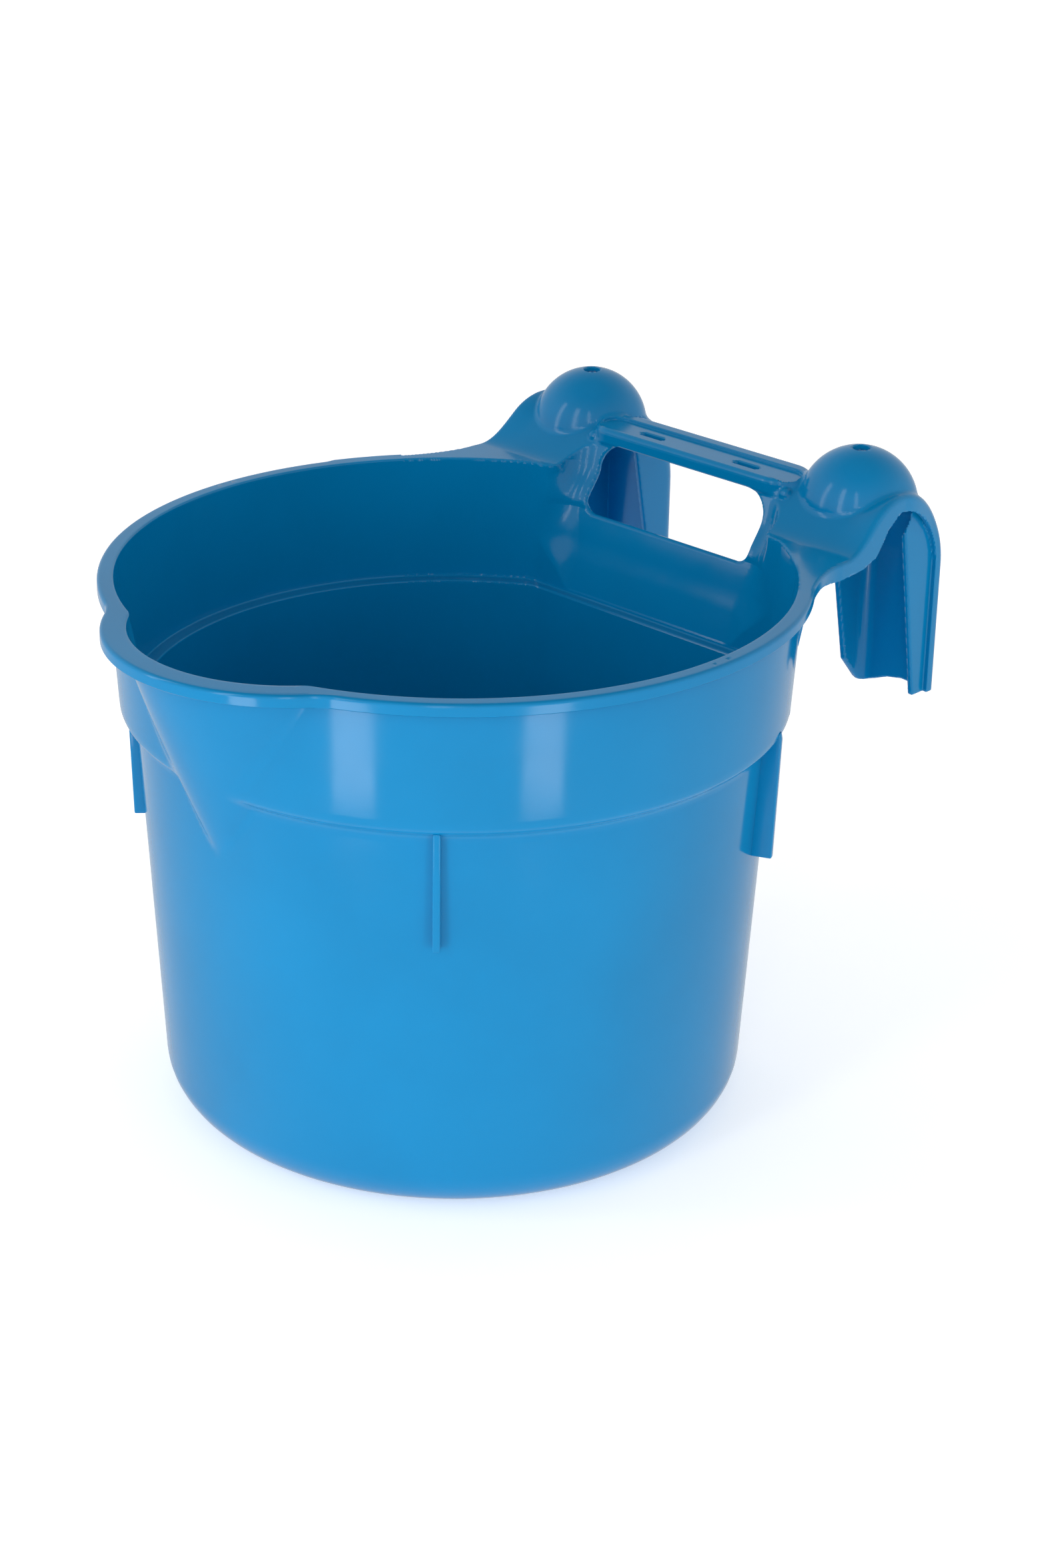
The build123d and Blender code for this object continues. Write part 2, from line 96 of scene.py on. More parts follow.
def smoothstep(v, low, high):
    t = np.clip((v - low) / (high - low), 0, 1)
    return t * t * (3 - 2 * t)


def line_distance(u, v, p, q):
    """Distance to the line through p and q, positive on its right-hand side."""
    du, dv = q[0] - p[0], q[1] - p[1]
    return ((u - p[0]) * dv - (v - p[1]) * du) / math.hypot(du, dv)


# ---- the moulding ----
def d_shape(x, y, radius, flat, corner):
    return round_cut(np.hypot(x, y) - radius, y - flat, corner)


def channel(x, y, z):
    """The pouring channel: a slanted, slightly bulging cone that fades into the wall."""
    depth = np.clip((RIM - z) / (RIM - CHANNEL_LOW), -0.2, 1.0)
    share = 1 - np.sign(depth) * np.abs(depth) ** 1.22
    middle = -122.0 + share * 36.2
    cone = (np.hypot(x, y - middle) - 65.0 * share) * 0.94
    return np.maximum(cone, CHANNEL_LOW - z), share


def tub_shape(x, y, z, inset, step, rounding):
    """The tub's walls and channel, drawn in by the inset. The band ends at the given step."""
    taper = DRAFT * z
    low = d_shape(x, y, BASE_R + taper, BASE_FLAT + taper, BACK_CORNER) * DRAFT_COS
    low = round_cut(low, -z, BASE_ROUND) + inset
    rise = BAND_DRAFT * (z - SHOULDER_TOP)
    band = d_shape(x, y, BAND_R + rise, BAND_FLAT + 0.75 * rise, BACK_CORNER) * BAND_DRAFT_COS + inset
    body = fillet_union(low, round_cut(band, step, rounding), rounding)
    cone, share = channel(x, y, z)
    return fillet_union(body, cone + inset, 0.3 + 4.5 * share * (1 - 0.75 * share))


def tub(x, y, z):
    """The tub's outside, positive outside, with a slanting shoulder."""
    step = d_shape(x, y, NECK_R, NECK_FLAT, BACK_CORNER) * 0.594 - (z - SHOULDER_LOW) * 0.805
    return tub_shape(x, y, z, 0.0, step, 1.4)


def cavity(x, y, z):
    """The space inside the tub, negative inside."""
    return tub_shape(x, y, z, WALL, LEDGE - z, 0.8)


def bay(x, y, z):
    """The inside of the hand grip, which leans out from the flat back to the bar."""
    # in side view the face leans below the hole, bends back beside it and leans on above
    bend = np.clip((z - RIM + 16.0) / 17.0, 0, 1)
    face = 122.4 + 0.276 * np.minimum(z - RIM + 17, 0) + 0.26 * np.maximum(z - RIM, 0)
    face = face + 8.6 * bend * bend * (3 - 2 * bend)
    slope = 0.2 + 3.04 * bend * (1 - bend)
    out = (y - face) / np.sqrt(1 + slope * slope)
    # the sides widen and soften towards the ledge
    foot = smoothstep(RIM - z, 14, 36)
    out = round_cut(out, x - GRIP_SIDE - 7.0 * foot, 10.0 + 12.0 * foot)
    return np.maximum(out, np.maximum(100 - y, LEDGE + 1.5 - z))


def inside(x, y, z):
    """The space inside the tub and the grip, negative inside."""
    soft = 0.2 + 6.8 * smoothstep(z, LEDGE + 6, LEDGE + 24)
    return fillet_union(cavity(x, y, z), bay(x, y, z), soft)


def strap_side(y):
    """The hook strap's outer edge seen from above; it draws in towards the leg."""
    return 103.2 - 0.075 * np.clip(y - 112, 0, 43) - 4.2 * smoothstep(y, 158, 186)


def rim_plan(x, y):
    """The rim's outline seen from above: circle, spout and hook straps."""
    round_rim = fillet_union(np.hypot(x, y) - RIM_R, np.hypot(x, y - SPOUT_Y) - SPOUT_R, 2.5)
    strap = np.maximum(x - strap_side(y), 60 - y)
    return fillet_union(round_rim, strap, 11.0)


def arch(y, z):
    """The strap's side view: positive above and behind it."""
    front = np.hypot(y - 152.3, z - (RIM - 8.5)) - 26.0
    front = np.where(z < RIM - 8.5, 126.3 - y, front)
    rear = np.hypot(y - 152.0, z - (RIM - 22.0)) - 39.5
    rear = np.where(z < RIM - 22.0, y - HOOK_BACK, rear)
    bent = np.where(y < 152.2, front, rear)
    deck = np.maximum(z - RIM, y - 150)
    return fillet_union(deck, bent, 11.0)


def dome(x, y, z):
    return np.sqrt((x - DOME[0]) ** 2 + (y - DOME[1]) ** 2 + (z - DOME[2]) ** 2) - DOME_R


def opening(x, z):
    """The hand hole seen from the front, a rectangle with round corners."""
    return round_cut(round_cut(np.abs(x) - HOLE_SIDE, z - HOLE_TOP, 11.0), HOLE_LOW - z, 6.0)


def capsule(x, y, half_length, radius):
    return np.hypot(np.maximum(np.abs(x) - half_length, 0), y) - radius


def front_moulding(x, y, z):
    """The tub with its rim: all that the round front needs."""
    top = z - RIM
    plan = rim_plan(x, y)
    flange = np.maximum(-(top + WALL), plan)
    lip = round_cut(np.maximum(plan, LIP_LOW - z), -(plan + LIP), 0.4)
    solid = fillet_union(tub(x, y, z), np.minimum(flange, lip), 0.8)
    slot = np.maximum(np.abs(y) - SLOT_HALF_LENGTH, np.abs(np.abs(x) - SLOT_X) - SLOT_HALF_WIDTH)
    solid = np.maximum(solid, -slot)
    solid = np.maximum(solid, round_cut(top, plan, EDGE))
    return round_cut(solid, -cavity(x, y, z), INNER_EDGE)


def leg(x, y, z, top, corner):
    """The hook's U-shaped leg under the strap, not yet cut off on top and behind."""
    hollow_corner = np.maximum(corner - LEG_WALL, 0.5)
    void = round_cut(top + LEG_WALL, x - HOOK_LEG + LEG_WALL, hollow_corner)
    void = round_cut(void, HOOK_IN + LEG_WALL - x, hollow_corner)
    shell = np.maximum(np.maximum(x - HOOK_LEG, HOOK_IN - x), -void)
    # what stays of the U: the strap and web, and two flanges behind their free edges
    web = -(top + STRAP_WALL)
    flange_out = -line_distance(z, y, (RIM + 3, 164.2), (RIM - 75, 177.0))
    flange_in = np.maximum(-line_distance(z, y, (RIM - 5, 165.0), (RIM - 64, 176.6)),
                           -line_distance(z, y, (RIM - 73, 178.5), (RIM - 85.5, 189.0)))
    keep = np.minimum(web, np.where(x > 76, flange_out, flange_in))
    return round_cut(shell, np.maximum(keep, 128.0 - y), 1.0)


def back_moulding(x, y, z):
    """The whole moulding at the back: tub wall, shelf, hand grip, bar, hooks and domes."""
    x = np.abs(x)
    space = inside(x, y, z)
    turn = smoothstep(y - 0.6 * z, 150 - 0.6 * RIM, 190 - 0.6 * RIM)
    top = arch(y + 0.08 * (x - HOOK_MID) * smoothstep(y, 150, 175), z)
    edge_in = 1.0 - smoothstep(x, 66, 84)
    corner = EDGE + 1.0 * smoothstep(y, 115, 132) + turn * (0.8 + 5.5 * edge_in)
    # shallow dish in the strap, which leaves its outer edge a little proud
    side = strap_side(y) - x
    dish = 1.3 * smoothstep(side, 2, 14) * smoothstep(y, 122, 142) * (1 - smoothstep(y, 172, 188))
    top = top + dish
    # rim, shelf and strap with their turned-down edge
    plan = rim_plan(x, y)
    lip_low = np.interp(y, [95, 111, 128, 136.2, 140.2, 143.9, 150, 152],
                        [-5.0, -7.3, -6.7, -4.0, -0.1, 5.4, 9.3, 9.8]) + RIM - z
    depth = 7.0 - 1.6 * smoothstep(y, 165, 190)
    lip_low = np.where(y < 152, lip_low * 0.8, -(top - dish + depth))
    inner = np.minimum(HOOK_IN - x, y - 130)
    flange = np.maximum(-(top + WALL), np.maximum(plan, inner))
    solid = fillet_union(space - WALL, flange, 0.8)
    lip = round_cut(np.maximum(plan, lip_low), -(plan + LIP + 0.8 * smoothstep(y, 105, 125)), 0.4)
    solid = np.minimum(fillet_union(solid, lip, 0.8), leg(x, y, z, top, corner))
    # the leg ends in a slanting foot
    foot = np.interp(x, [53, 59, 64, 71, 79, 91], [-85.5, -84.4, -82.6, -79.7, -78.0, -78.3]) + RIM - z
    solid = np.where(y > 140, round_cut(solid, foot, 0.9), solid)
    # the outer skin rounds all edges on top, and the space inside is cut out
    skin = round_cut(top, plan, corner)
    skin = np.where(y > 150, round_cut(skin, HOOK_IN - x, corner), skin)
    solid = round_cut(np.maximum(solid, skin), -space, INNER_EDGE)
    # domes and handle bar
    ball = dome(x, y, z)
    cap = np.maximum(round_cut(ball, -(ball + WALL), 0.5), -(top + 1.5))
    solid = fillet_union(solid, cap, 1.4)
    bar = round_cut(capsule(x, y - BAR_Y, BAR_HALF, BAR_R), z - BAR_TOP, 2.4)
    bar = round_cut(bar, BAR_LOW - z, 1.2)
    under = np.maximum(capsule(x, y - BAR_Y, BAR_HALF, 9.8), z - (RIM + 12.3))
    solid = fillet_union(solid, round_cut(bar, -under, 0.6), 2.5)
    # a small boss thickens the corner between bar, grip and strap
    boss = np.sqrt((x - 53.0) ** 2 + (y - 136.4) ** 2 + (z - RIM - 10.6) ** 2) - 2.7
    solid = fillet_union(solid, boss, 1.0)
    # the hole, the domes' hollows and the small holes
    hole = np.maximum(np.maximum(opening(x, z), 112 - y), y - 139)
    solid = round_cut(solid, -hole, 1.0)
    solid = round_cut(solid, -(ball + WALL), 0.5)
    recess = np.maximum(capsule(x, y - SLOT_Y, 46.5, 7.5), (RIM + 15.2) - z)
    solid = round_cut(solid, -recess, 0.5)
    slot = np.maximum(capsule(x - 26.0, y - SLOT_Y, 4.75, 1.75), (RIM + 5) - z)
    solid = round_cut(solid, -slot, 0.3)
    vent = np.maximum(np.hypot(x - DOME[0], y - DOME[1]) - 3.5, (RIM + 15) - z)
    return round_cut(solid, -vent, 0.6)


# ---- meshing ----
def gradient(field, p):
    """Unit gradient of a distance field at points, by central differences."""
    step = 0.04
    g = np.empty_like(p)
    for axis in range(3):
        d = np.zeros(3)
        d[axis] = step
        a, b = p + d, p - d
        g[:, axis] = field(a[:, 0], a[:, 1], a[:, 2]) - field(b[:, 0], b[:, 1], b[:, 2])
    return g / np.maximum(np.linalg.norm(g, axis=1, keepdims=True), 1e-9)


def settle(field, p, reach):
    """Move points onto the field's zero surface, by no more than the reach at a time."""
    for _ in range(3):
        g = gradient(field, p)
        d = np.clip(field(p[:, 0], p[:, 1], p[:, 2]), -reach, reach)
        p = p - g * d[:, None]
    return p


def volume_mesh(field, low, high, pitch):
    """Points and quads of the field's surface inside a box."""
    counts = [int((b - a) / pitch) + 1 for a, b in zip(low, high)]
    values = np.empty(counts, np.float32)
    ys = low[1] + pitch * np.arange(counts[1])
    zs = low[2] + pitch * np.arange(counts[2])
    for i in range(counts[0]):
        x = np.full((counts[1], counts[2]), low[0] + pitch * i)
        y, z = np.meshgrid(ys, zs, indexing="ij")
        values[i] = field(x, y, z)
    grid = openvdb.FloatGrid(3 * pitch)
    grid.copyFromArray(np.clip(values, -3 * pitch, 3 * pitch))
    points, _, quads = grid.convertToPolygons(0.0, 0.0)
    return points.astype(float) * pitch + np.array(low), quads[:, ::-1].astype(int)


def shade(obj, field):
    """Corner normals from the field, taken just inside each face so that edges stay crisp."""
    mesh = obj.data
    count = len(mesh.loops)
    verts = np.empty(len(mesh.vertices) * 3)
    mesh.vertices.foreach_get("co", verts)
    verts = verts.reshape(-1, 3) * 1000
    index = np.empty(count, int)
    mesh.loops.foreach_get("vertex_index", index)
    starts = np.empty(len(mesh.polygons), int)
    mesh.polygons.foreach_get("loop_start", starts)
    totals = np.empty(len(mesh.polygons), int)
    mesh.polygons.foreach_get("loop_total", totals)
    face = np.repeat(np.arange(len(starts)), totals)
    sums = np.zeros((len(starts), 3))
    np.add.at(sums, face, verts[index])
    centres = sums / totals[:, None]
    flat = np.empty(len(starts) * 3)
    mesh.polygons.foreach_get("normal", flat)
    flat = flat.reshape(-1, 3)[face]
    probe = verts[index] + 0.12 * (centres[face] - verts[index])
    normals = gradient(field, probe)
    off = np.sum(normals * flat, axis=1) < 0.5
    normals[off] = flat[off]
    mesh.shade_smooth()
    mesh.normals_split_custom_set(normals.tolist())


def make_piece(name, points, faces):
    mesh = bpy.data.meshes.new(name)
    mesh.from_pydata((points / 1000).tolist(), [], faces)
    mesh.update()
    obj = bpy.data.objects.new(name, mesh)
    bpy.context.scene.collection.objects.link(obj)
    return obj


def cut(obj, point, normal, where=None):
    """Cut a mesh at a plane, drop what lies on the normal's side, and close the cut."""
    bm = bmesh.new()
    bm.from_mesh(obj.data)
    verts = [v for v in bm.verts if where is None or where(v.co * 1000)]
    chosen = set(verts)
    edges = [e for e in bm.edges if e.verts[0] in chosen and e.verts[1] in chosen]
    faces = [f for f in bm.faces if all(v in chosen for v in f.verts)]
    done = bmesh.ops.bisect_plane(bm, geom=verts + edges + faces, dist=1e-7,
                                  plane_co=Vector(point) / 1000, plane_no=Vector(normal),
                                  clear_outer=True)
    rim = [e for e in done["geom_cut"] if isinstance(e, bmesh.types.BMEdge) and e.is_boundary]
    bmesh.ops.holes_fill(bm, edges=rim, sides=0)
    bm.to_mesh(obj.data)
    bm.free()
    obj.data.update()


def duplicate(obj, name):
    twin = obj.copy()
    twin.data = obj.data.copy()
    twin.name = twin.data.name = name
    bpy.context.scene.collection.objects.link(twin)
    return twin


# ---- round tub pieces: a grid of profile rows around the axis ----
WEDGE = math.radians(WEDGE_DEGREES)


def wall_radius(field, angle, z):
    """Where a field's zero surface lies along a horizontal ray from the axis."""
    a, b = np.full_like(angle, 60.0), np.full_like(angle, 160.0)
    for _ in range(34):
        m = (a + b) / 2
        out = field(m * np.sin(angle), -m * np.cos(angle), z) > 0
        b = np.where(out, m, b)
        a = np.where(out, a, m)
    return (a + b) / 2


def grid_faces(rows, columns, closed_columns, closed_rows):
    """Quads between neighbouring rows and columns."""
    r = np.arange(rows if closed_rows else rows - 1)
    c = np.arange(columns if closed_columns else columns - 1)
    r, c = np.meshgrid(r, c, indexing="ij")
    r2, c2 = (r + 1) % rows, (c + 1) % columns
    quads = np.stack([r * columns + c, r * columns + c2, r2 * columns + c2, r2 * columns + c], -1)
    return quads.reshape(-1, 4)


def lower_tub():
    """Floor, rounded base corner and lower wall, all the way round."""
    columns = 480
    angle = 2 * math.pi * np.arange(columns) / columns
    rows = []

    def level_rows(field, heights):
        for z in heights:
            radius = wall_radius(field, angle, np.full(columns, z))
            rows.append(np.stack([radius * np.sin(angle), -radius * np.cos(angle),
                                  np.full(columns, z)], -1))

    up = np.concatenate([BASE_ROUND * (1 - np.cos(np.linspace(0.28, math.pi / 2, 9))),
                         np.arange(24, 128, 8.0), np.arange(128, SEAM - 0.5, 2.5), [SEAM]])
    level_rows(tub, up)
    inner_up = up[up > WALL + 1.2]
    level_rows(cavity, inner_up[::-1])
    outer_first, inner_last = rows[0], rows[-1]

    def floor_rows(edge, z):
        return [np.concatenate([edge[:, :2] * s, np.full((columns, 1), z)], 1)
                for s in (0.955, 0.9, 0.8, 0.6, 0.35, 0.12)]

    inner_floor = floor_rows(inner_last, WALL)
    outer_floor = floor_rows(outer_first, 0.0)[::-1]
    grid = np.concatenate(rows + inner_floor)
    under = np.concatenate(outer_floor)
    n_grid, n_under = len(rows) + len(inner_floor), len(outer_floor)
    points = np.concatenate([under, grid])
    faces = grid_faces(n_under + n_grid, columns, True, False)
    points = np.concatenate([points, [[0, 0, 0.0], [0, 0, WALL]]])
    c = np.arange(columns)
    last = (n_under + n_grid - 1) * columns
    bottom = [[len(points) - 2, int((i + 1) % columns), int(i)] for i in c]
    top = [[len(points) - 1, int(last + i), int(last + (i + 1) % columns)] for i in c]
    return make_piece("tub_lower", points, faces.tolist() + bottom + top)


def upper_tub():
    """Shoulder, band, rim and spout, round the front up to the wedge planes."""
    columns = 500
    angle = np.linspace(-WEDGE, WEDGE, columns)
    sin, cos = np.sin(angle), -np.cos(angle)
    rows = []

    def add(radius, z):
        rows.append(np.stack([radius * sin, radius * cos, np.full(columns, z)], -1))

    def flat_field(offset):
        return wall_radius(lambda x, y, z: rim_plan(np.abs(x), y) - offset, angle, np.zeros(columns))

    full = np.full(columns, 0.0)
    outer_up = np.concatenate([[SEAM], np.linspace(SHOULDER_LOW - 0.4, SHOULDER_TOP + 1.2, 12),
                               np.arange(SHOULDER_TOP + 4, RIM - 5, 3.2), [RIM - 3.6, RIM - 2.9]])
    for z in outer_up:
        add(wall_radius(tub, angle, full + z), z)
    wall = wall_radius(tub, angle, full + RIM - WALL)
    lip_in = flat_field(-LIP)
    add(wall + 0.35 * (lip_in - wall), RIM - WALL)
    add(wall + 0.8 * (lip_in - wall), RIM - WALL)
    for z in (RIM - 3.0, RIM - 3.8, RIM - 4.6):
        add(lip_in, z)
    for inset in (-1.7, -1.0, -0.3):
        add(flat_field(inset), LIP_LOW)
    edge = flat_field(0.0)
    for z in (RIM - 4.6, RIM - 3.4, RIM - 2.2):
        add(edge, z)
    for a in np.linspace(0.08, 0.92, 6) * math.pi / 2:
        add(edge - EDGE * (1 - math.cos(a)), RIM - EDGE * (1 - math.sin(a)))
    inner_top = wall_radius(cavity, angle, full + RIM)
    for s in (0.25, 0.6, 0.85):
        add(edge - EDGE + s * (inner_top + 0.9 - edge + EDGE), RIM)
    for a in np.linspace(0.1, 0.9, 4) * math.pi / 2:
        add(inner_top + INNER_EDGE * (1 - math.sin(a)), RIM - INNER_EDGE * (1 - math.cos(a)))
    near = np.array([0.9, 0.6, 0.36, 0.18, 0.06, 0.01])
    inner_down = np.concatenate([[RIM - 1.6, RIM - 3], np.arange(RIM - 5, LEDGE + 2, -3.2),
                                 LEDGE + near, LEDGE - near[::-1], [LEDGE - 3, SEAM]])
    for z in inner_down:
        add(wall_radius(cavity, angle, full + z), z)
    count = len(rows)
    points = np.concatenate(rows)
    # the rows close into a ring; the first and last rows stay on the seam plane,
    # and the first and last columns on the wedge planes
    keep = points[:, 2] <= SEAM + 1e-6
    moved = settle(front_moulding, points, 0.3)
    ends = np.zeros(len(points), bool)
    ends.reshape(count, columns)[:, [0, -1]] = True
    moved[keep, 2] = SEAM
    outward = np.tile(np.stack([sin, cos], -1), (count, 1))
    along = np.sum(moved[:, :2] * outward, axis=1)
    moved[ends, :2] = outward[ends] * along[ends, None]
    faces = grid_faces(count, columns, False, True).tolist()
    first = [r * columns for r in range(count)]
    last = [r * columns + columns - 1 for r in range(count)]
    return make_piece("tub_upper", moved, faces + [first, last[::-1]])


# ---- back pieces: a volume surface of the right half, and its mirror image ----
def right_back(pitch):
    """The right half of the back, cut off where the tub's other pieces begin."""
    points, quads = volume_mesh(back_moulding, (-2.0, 70.0, 136.0), (116.0, 197.0, 259.0), pitch)
    points = settle(back_moulding, points, 0.5)
    half = make_piece("back_right", points, quads.tolist())

    def on_tub(p):
        return p.y < 131

    cut(half, (0, 0, SEAM), (0, 0, -1), on_tub)
    cut(half, (0, 0, 0), (-math.cos(WEDGE), -math.sin(WEDGE), 0), on_tub)
    cut(half, (0, 0, 0), (-1, 0, 0))
    return half


# ---- ribs and fins ----
def fin(name, angle, outline, thickness):
    """A radial fin with softened edges, given by distance from the axis and height."""
    out = np.array([math.sin(math.radians(angle)), -math.cos(math.radians(angle)), 0.0])
    across = np.array([-out[1], out[0], 0.0])
    up = np.array([0.0, 0.0, 1.0])
    bm = bmesh.new()
    loops = []
    for side in (-0.5, 0.5):
        loops.append([bm.verts.new((out * r + across * side * thickness + up * h) / 1000)
                      for r, h in outline])
    bm.faces.new(loops[0])
    bm.faces.new(loops[1][::-1])
    count = len(outline)
    for i in range(count):
        j = (i + 1) % count
        bm.faces.new((loops[0][j], loops[0][i], loops[1][i], loops[1][j]))
    bmesh.ops.recalc_face_normals(bm, faces=bm.faces)
    bmesh.ops.bevel(bm, geom=bm.edges[:], offset=0.0006, segments=3, profile=0.5,
                    affect="EDGES", clamp_overlap=True)
    mesh = bpy.data.meshes.new(name)
    bm.to_mesh(mesh)
    bm.free()
    mesh.shade_smooth()
    obj = bpy.data.objects.new(name, mesh)
    bpy.context.scene.collection.objects.link(obj)
    return obj


# ---- material ----
BLUE_DEEP, BLUE_LIGHT = (0.0, 0.195, 0.435, 1), (0.0, 0.212, 0.47, 1)


def map_range(tree, value, source, target):
    """A value mapped from one range to another, held within the second."""
    node = tree.nodes.new("ShaderNodeMapRange")
    for key, number in zip(("From Min", "From Max", "To Min", "To Max"), source + target):
        node.inputs[key].default_value = number
    tree.links.new(value, node.inputs["Value"])
    return node.outputs["Result"]


def plastic():
    """Glossy moulded polypropylene with faint flow marks, orange peel and handling scuffs."""
    mat = bpy.data.materials.new("blue_plastic")
    mat.use_nodes = True
    tree = mat.node_tree
    nodes, links = tree.nodes, tree.links
    shader = nodes["Principled BSDF"]
    where = nodes.new("ShaderNodeTexCoord")

    def noise(scale, detail, rough=0.5):
        node = nodes.new("ShaderNodeTexNoise")
        node.inputs["Scale"].default_value = scale
        node.inputs["Detail"].default_value = detail
        node.inputs["Roughness"].default_value = rough
        links.new(where.outputs["Object"], node.inputs["Vector"])
        return node.outputs["Fac"]

    flow_marks = nodes.new("ShaderNodeMix")
    flow_marks.data_type = "RGBA"
    flow_marks.inputs["A"].default_value = BLUE_DEEP
    flow_marks.inputs["B"].default_value = BLUE_LIGHT
    links.new(map_range(tree, noise(14, 3), (0.35, 0.65), (0, 1)), flow_marks.inputs["Factor"])
    links.new(flow_marks.outputs["Result"], shader.inputs["Base Color"])
    scuffs = map_range(tree, noise(45, 4, 0.6), (0.35, 0.7), (0.11, 0.18))
    links.new(scuffs, shader.inputs["Roughness"])
    shader.inputs["Specular IOR Level"].default_value = 0.30
    shader.inputs["IOR"].default_value = 1.49
    orange_peel = nodes.new("ShaderNodeBump")
    orange_peel.inputs["Strength"].default_value = 0.02
    orange_peel.inputs["Distance"].default_value = 0.0004
    links.new(noise(900, 2), orange_peel.inputs["Height"])
    links.new(orange_peel.outputs["Normal"], shader.inputs["Normal"])
    return mat


# ---- the pieces, and the CAD nodes they stand for ----
blue = plastic()
body = "root"


def finish_piece(obj, *stands_for):
    obj.data.materials.append(blue)
    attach(obj, body)
    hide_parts(*stands_for)


def sides(*names):
    return [f"{n}_{s}" for n in names for s in ("left", "right")]


pitch = 0.8
lower = lower_tub()
shade(lower, front_moulding)
finish_piece(lower, "floor", "base_corner", "lower_wall", "lower_back_wall")
upper = upper_tub()
shade(upper, front_moulding)
finish_piece(upper, "shoulder", "pouring_channel", "spout_rim", "spout_lip",
             *sides("upper_band", "rim_flange", "rim_lip"))

right = right_back(pitch)
left = duplicate(right, "back_left")
left.data.transform(Matrix.Scale(-1, 4, (1, 0, 0)))
left.data.flip_normals()
HOOK_NODES = ("hook_strap", "hook_web", "hook_inner_flange", "hook_outer_flange",
              "strap_outer_lip", "hook_shelf", "shelf_lip", "dome", "grip_cheek")
for piece, side in ((right, "right"), (left, "left")):
    shade(piece, back_moulding)
    nodes = [f"{n}_{side}" for n in HOOK_NODES]
    if side == "right":
        nodes += ["back_panel", "grip_panel", "handle_bar"]
    finish_piece(piece, *nodes)

FRONT_OUTLINE = ((123.2, RIB_LOW), (129.0, RIB_LOW), (130.2, SHOULDER_LOW + 2.5), (125.6, SHOULDER_LOW))
REAR_OUTLINE = ((123.2, RIB_LOW), (132.5, RIB_LOW), (134.0, SHOULDER_TOP), (133.4, SHOULDER_TOP + 3),
                (131.6, SHOULDER_TOP + 1), (125.6, SHOULDER_LOW - 1))
FIN_OUTLINE = ((133.0, RIM - 26), (134.8, RIM - 24), (137.6, RIM - 7), (137.6, RIM - 1.5),
               (134.4, RIM - 1.5))
for side, sign in (("right", 1), ("left", -1)):
    for name, node, angle, outline, wall in (
            ("rib_front", "front_rib", FRONT_RIB, FRONT_OUTLINE, RIB_WALL),
            ("rib_rear", "rear_rib", REAR_RIB, REAR_OUTLINE, RIB_WALL),
            ("fin", "gusset", RIM_FIN, FIN_OUTLINE, WALL)):
        finish_piece(fin(f"{name}_{side}", sign * angle, outline, wall), f"{node}_{side}")


# ---- floor, light and camera, in metres ----
EYE = (0.81889, -0.82117, 0.65342)
AZIMUTH, ELEVATION, ROLL = (math.radians(a) for a in (43.57, 24.26, 1.0))
ACROSS = Vector((math.cos(AZIMUTH), math.sin(AZIMUTH), 0))
AWAY = (-0.689, 0.725, 0.0)     # from the camera past the object, along the floor


def backdrop_material():
    mat = bpy.data.materials.new("backdrop")
    mat.use_nodes = True
    shader = mat.node_tree.nodes["Principled BSDF"]
    shader.inputs["Base Color"].default_value = (0.9, 0.9, 0.9, 1)
    shader.inputs["Roughness"].default_value = 0.9
    shader.inputs["Emission Color"].default_value = (1, 1, 1, 1)
    shader.inputs["Emission Strength"].default_value = 0.42
    return mat


def sweep():
    """A pale floor that curves up into a backdrop behind the object."""
    ahead = np.array([-math.sin(AZIMUTH), math.cos(AZIMUTH)])
    across = np.array([math.cos(AZIMUTH), math.sin(AZIMUTH)])
    start, bend, top, half_width, below = 1.4, 0.8, 4.0, 4.0, 0.0004
    profile = [(-3.0, 0.0), (start, 0.0)]
    profile += [(start + bend * math.sin(a), bend * (1 - math.cos(a)))
                for a in np.linspace(0.1, math.pi / 2, 16)]
    profile.append((start + bend, top))
    points, faces = [], []
    for d, h in profile:
        for w in (-half_width, half_width):
            points.append((ahead[0] * d + across[0] * w, ahead[1] * d + across[1] * w, h - below))
    for i in range(len(profile) - 1):
        faces.append((2 * i, 2 * i + 1, 2 * i + 3, 2 * i + 2))
    mesh = bpy.data.meshes.new("backdrop")
    mesh.from_pydata(points, [], faces)
    mesh.shade_smooth()
    obj = bpy.data.objects.new("backdrop", mesh)
    bpy.context.scene.collection.objects.link(obj)
    obj.data.materials.append(backdrop_material())
    obj.visible_glossy = False


def soft_light(name, place, target, size, power):
    """An area light at a place, aimed at a target."""
    data = bpy.data.lights.new(name, "AREA")
    data.shape = "RECTANGLE"
    data.size, data.size_y = size
    data.energy = power
    obj = bpy.data.objects.new(name, data)
    obj.location = place
    obj.rotation_euler = (Vector(target) - obj.location).to_track_quat("-Z", "Y").to_euler()
    bpy.context.scene.collection.objects.link(obj)


def tall_panel(name, facing, size, power):
    """A tall soft panel standing on the floor some way from the object."""
    reach, lift, aim_height = 1.35, 0.02, 0.35
    way = math.radians(facing)
    place = (reach * math.sin(way), -reach * math.cos(way), size[1] / 2 + lift)
    soft_light(name, place, (0, 0, aim_height), size, power)


def strip_light(name, facing, width, power):
    """A narrow light close in front of the wall, which shows as a soft vertical glint."""
    reach, height, length = 0.42, 0.09, 0.15
    wall, aim_height = 0.13, 0.19
    way = math.radians(facing)
    x, y = math.sin(way), -math.cos(way)
    soft_light(name, (x * reach, y * reach, height), (x * wall, y * wall, aim_height),
               (width, length), power)


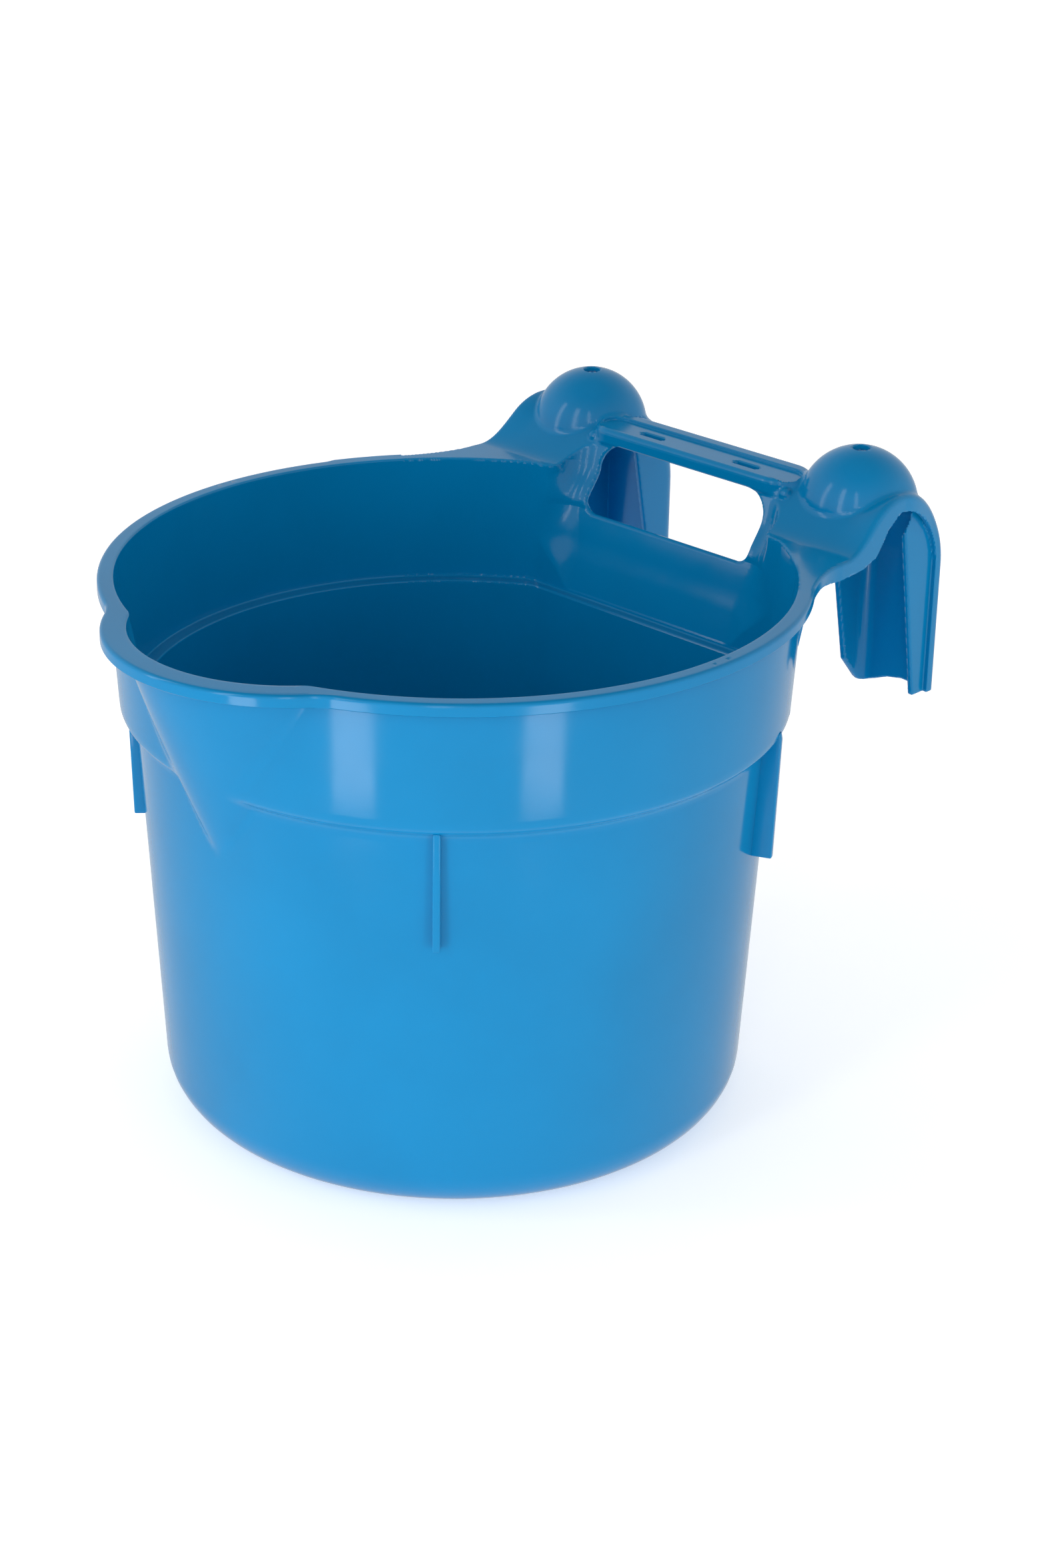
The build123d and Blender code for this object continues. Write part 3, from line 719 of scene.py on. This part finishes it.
def sky():
    """White light from all round, dimmer overhead and a little dimmer behind the object."""
    world = bpy.data.worlds.new("studio")
    bpy.context.scene.world = world
    world.use_nodes = True
    tree = world.node_tree
    background = tree.nodes["Background"]
    background.inputs["Color"].default_value = (1, 1, 1, 1)
    way = tree.nodes.new("ShaderNodeTexCoord").outputs["Generated"]
    split = tree.nodes.new("ShaderNodeSeparateXYZ")
    tree.links.new(way, split.inputs["Vector"])
    overhead = map_range(tree, split.outputs["Z"], (0.42, 0.92), (0.92, 0.28))
    ahead = tree.nodes.new("ShaderNodeVectorMath")
    ahead.operation = "DOT_PRODUCT"
    ahead.inputs[1].default_value = AWAY
    tree.links.new(way, ahead.inputs[0])
    behind = map_range(tree, ahead.outputs["Value"], (-0.1, 0.55), (1.0, 0.75))
    both = tree.nodes.new("ShaderNodeMath")
    both.operation = "MULTIPLY"
    tree.links.new(overhead, both.inputs[0])
    tree.links.new(behind, both.inputs[1])
    tree.links.new(both.outputs["Value"], background.inputs["Strength"])


def place_camera():
    """The camera, looking down on the front right of the object."""
    data = bpy.data.cameras.new("camera")
    data.lens = 72.32
    data.sensor_width = 36.0
    data.clip_start, data.clip_end = 0.05, 50
    obj = bpy.data.objects.new("camera", data)
    bpy.context.scene.collection.objects.link(obj)
    forward = Vector((-math.sin(AZIMUTH) * math.cos(ELEVATION), math.cos(AZIMUTH) * math.cos(ELEVATION),
                      -math.sin(ELEVATION)))
    level_up = ACROSS.cross(forward)
    right_way = math.cos(ROLL) * ACROSS + math.sin(ROLL) * level_up
    up = -math.sin(ROLL) * ACROSS + math.cos(ROLL) * level_up
    turn = Matrix((right_way, up, -forward)).transposed().to_4x4()
    obj.matrix_world = Matrix.Translation(EYE) @ turn
    bpy.context.scene.camera = obj


sweep()
tall_panel("panel left", -37, (0.20, 1.3), 2.4)
tall_panel("panel front", 6, (0.24, 1.4), 3.2)
tall_panel("panel right", 40, (0.16, 1.3), 1.6)
strip_light("strip left", 16.4, 0.085, 0.19)
strip_light("strip right", 69.4, 0.08, 0.165)
sky()
place_camera()
bpy.context.scene.view_settings.view_transform = "Standard"
